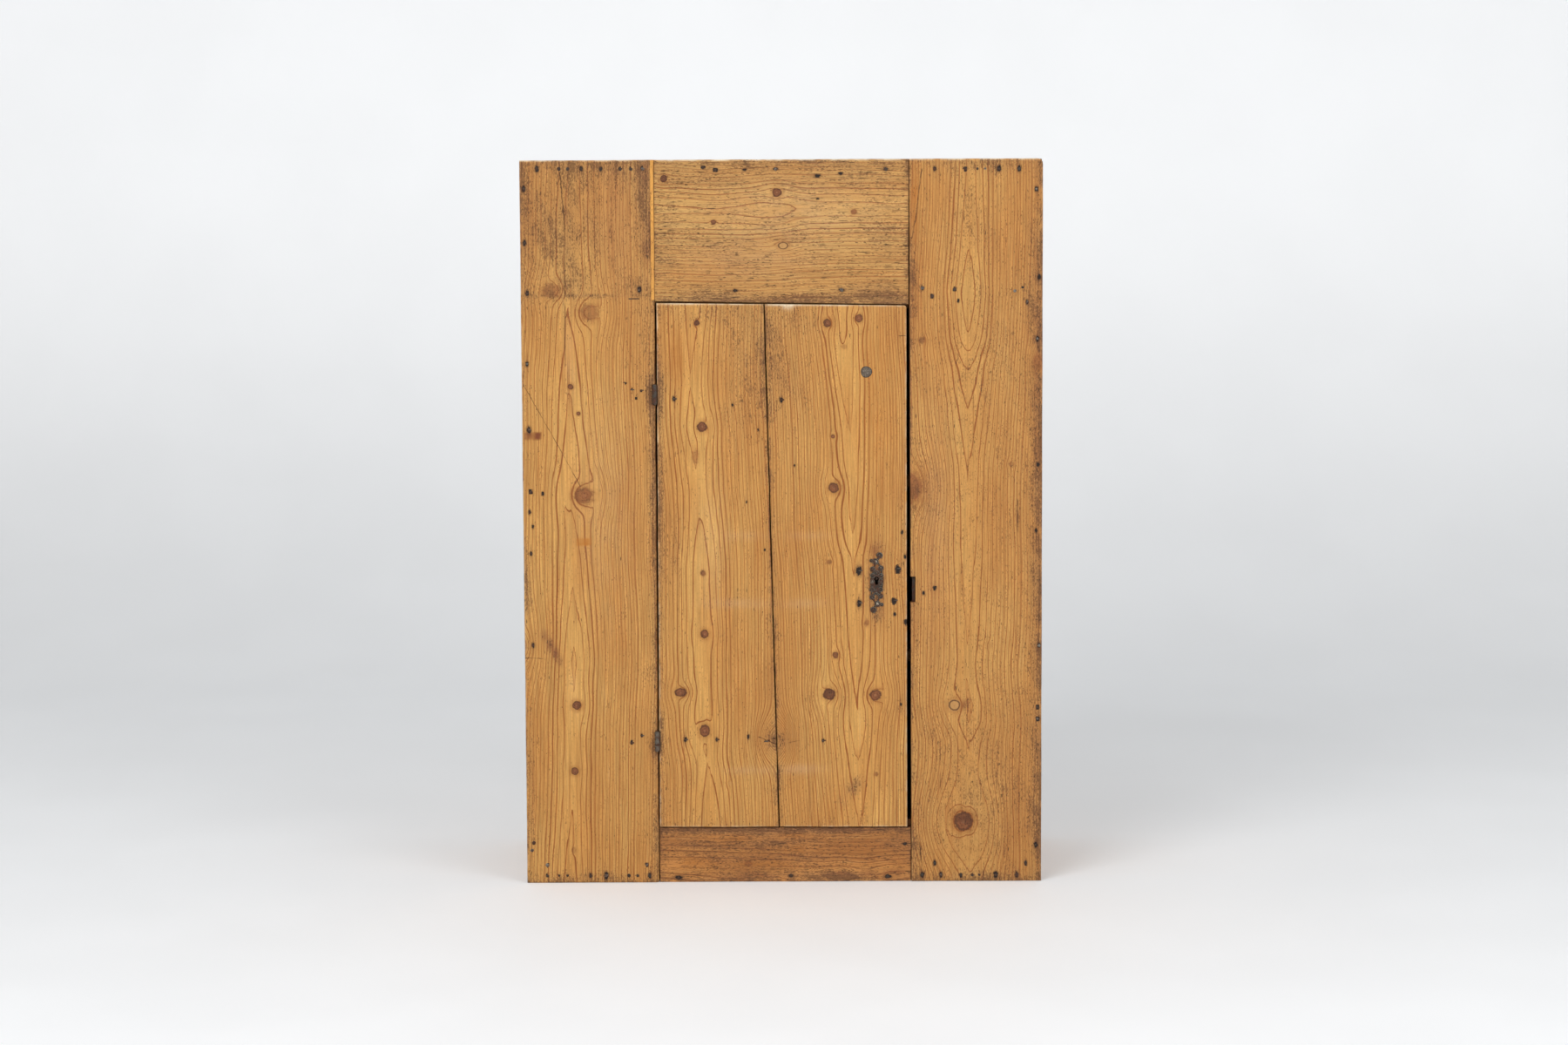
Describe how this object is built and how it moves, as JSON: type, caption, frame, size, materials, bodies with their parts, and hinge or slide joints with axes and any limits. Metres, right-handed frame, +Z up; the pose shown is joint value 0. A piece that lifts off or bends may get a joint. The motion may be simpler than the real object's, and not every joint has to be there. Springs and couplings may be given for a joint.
{
  "type": "storage cabinet",
  "caption": "Tall nailed pine storage cabinet with wide front boards, one ledged plank door on butt hinges, a let-in lock with pierced escutcheon, and shelves inside.",
  "frame": {"origin": "on the floor under the middle of the cabinet's overall box", "axes": "+X to the right as seen from the front, +Y from the front to the back, +Z up"},
  "size_m": [0.862, 0.408, 1.205],
  "materials": {
    "old_pine": "waxed, aged honey brown",
    "new_pine": "waxed, clean orange yellow",
    "dark_iron": "dark, rubbed and rusty at the edges",
    "lock_steel": "worn bright where it slides"
  },
  "bodies": {
    "case": {"back_board_1": "old_pine", "back_board_2": "old_pine", "back_board_3": "old_pine", "back_board_4": "old_pine", "back_nails": "dark_iron", "bolt_keeper": "dark_iron", "bottom_front_board": "old_pine", "bottom_rail": "old_pine", "bottom_rear_board": "old_pine", "door_stop_strip": "old_pine", "frieze_board": "old_pine", "frieze_nails": "dark_iron", "frieze_slip": "new_pine", "front_left_board": "old_pine", "front_left_nails": "dark_iron", "front_right_board": "old_pine", "front_right_nails": "dark_iron", "header_batten": "old_pine", "hinge_case_nails": "dark_iron", "keeper_nails": "dark_iron", "left_side_front_board": "old_pine", "left_side_rear_board": "old_pine", "lower_hinge_case_leaf": "dark_iron", "lower_hinge_pin": "dark_iron", "lower_shelf_front_board": "old_pine", "lower_shelf_left_cleat": "old_pine", "lower_shelf_rear_board": "old_pine", "lower_shelf_right_cleat": "old_pine", "rail_nails": "dark_iron", "right_side_front_board": "old_pine", "right_side_rear_board": "old_pine", "shelf_nails": "dark_iron", "side_nails": "dark_iron", "staple": "dark_iron", "top_front_board": "old_pine", "top_nails": "dark_iron", "top_rear_board": "old_pine", "upper_hinge_case_leaf": "dark_iron", "upper_hinge_pin": "dark_iron", "upper_shelf_front_board": "old_pine", "upper_shelf_left_cleat": "old_pine", "upper_shelf_rear_board": "old_pine", "upper_shelf_right_cleat": "old_pine"},
    "door": {"door_hinge_board": "old_pine", "door_lock_board": "old_pine", "door_upper_ledge": "old_pine", "door_lower_ledge": "old_pine", "door_ledge_nails": "dark_iron", "upper_hinge_door_leaf": "dark_iron", "lower_hinge_door_leaf": "dark_iron", "hinge_door_nails": "dark_iron", "escutcheon": "dark_iron", "escutcheon_nails": "dark_iron", "lock_plate": "dark_iron", "lock_cap": "dark_iron", "lock_key_pin": "lock_steel", "lock_nails": "dark_iron", "bolt_spring": "lock_steel"},
    "bolt": {"lock_bolt": "lock_steel"}
  },
  "joints": [
    {"name": "door_hinge", "type": "hinge", "parent": "case", "child": "door", "pos_m": [-0.2109, -0.1995, 0.53], "axis": [0, 0, -1], "range_deg": [0, 170]},
    {"name": "bolt_slide", "type": "slide", "parent": "door", "child": "bolt", "axis": [1, 0, 0], "range_m": [0, 0.0115]}
  ]
}
